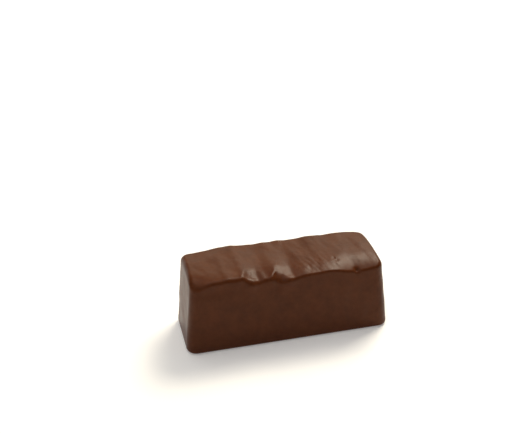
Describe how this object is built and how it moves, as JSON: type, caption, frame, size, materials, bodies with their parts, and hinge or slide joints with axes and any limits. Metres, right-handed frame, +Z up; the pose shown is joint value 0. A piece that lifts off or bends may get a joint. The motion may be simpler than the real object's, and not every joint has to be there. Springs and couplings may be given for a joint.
{
  "type": "glazed peanut candy",
  "caption": "Unwrapped bar-shaped candy in a milk-chocolate glaze, with soft cross folds on top and a flat base it rests on.",
  "frame": {"origin": "centre of the flat base, on the surface the candy rests on", "axes": "+X along the candy's length, +Y across its width from the shown long side to the far one, +Z up from the base"},
  "size_m": [0.045, 0.0164, 0.0175],
  "materials": {
    "milk_chocolate_glaze": "satin milk-chocolate glaze, set after flowing"
  },
  "bodies": {
    "root": {"glazed_candy": "milk_chocolate_glaze"}
  },
  "joints": []
}
